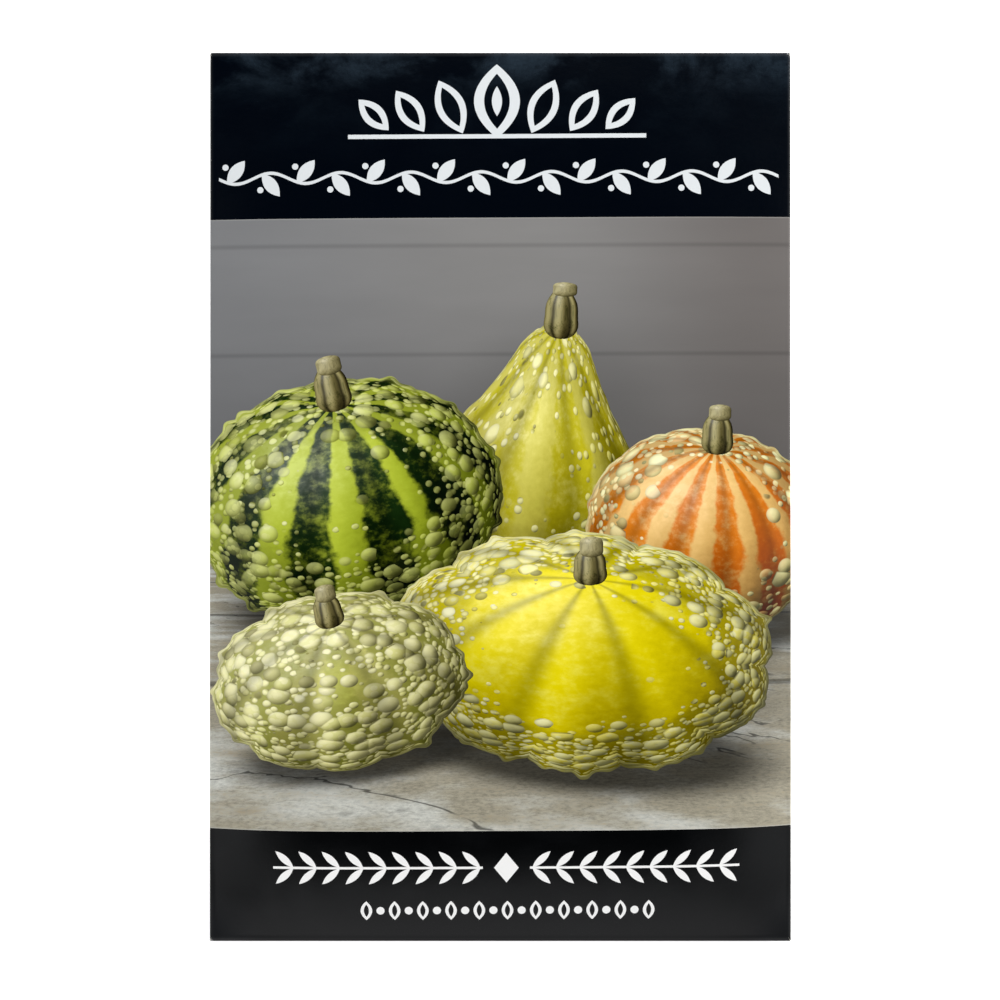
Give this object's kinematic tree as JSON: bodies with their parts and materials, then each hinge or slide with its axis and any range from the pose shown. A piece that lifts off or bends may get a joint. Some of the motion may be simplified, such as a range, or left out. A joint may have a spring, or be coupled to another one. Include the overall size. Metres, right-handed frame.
{
  "type": "seed packet",
  "caption": "Flat sealed paper pouch that holds loose seeds, folded from one printed sheet and glued at a back seam and two end flaps, fuller in its lower half.",
  "frame": {"origin": "middle of the packet's footprint, on the surface that it lies on", "axes": "+X across the front, +Y up the front to the closing flap's end, +Z out of the printed front"},
  "size_m": [0.083, 0.127, 0.0059],
  "materials": {
    "coated_paper": null,
    "glue": "dried packaging glue, cream and slightly clear",
    "seed_hull": "dry cream seed hull with a raised margin"
  },
  "bodies": {
    "root": {"packet_sheet": "coated_paper", "seam_glue": "glue", "bottom_flap_glue": "glue", "top_flap_glue": "glue", "seed_01": "seed_hull", "seed_02": "seed_hull", "seed_03": "seed_hull", "seed_04": "seed_hull", "seed_05": "seed_hull", "seed_06": "seed_hull", "seed_07": "seed_hull", "seed_08": "seed_hull", "seed_09": "seed_hull", "seed_10": "seed_hull", "seed_11": "seed_hull", "seed_12": "seed_hull", "seed_13": "seed_hull", "seed_14": "seed_hull", "seed_15": "seed_hull", "seed_16": "seed_hull", "seed_17": "seed_hull", "seed_18": "seed_hull", "seed_19": "seed_hull", "seed_20": "seed_hull", "seed_21": "seed_hull", "seed_22": "seed_hull"}
  },
  "joints": []
}
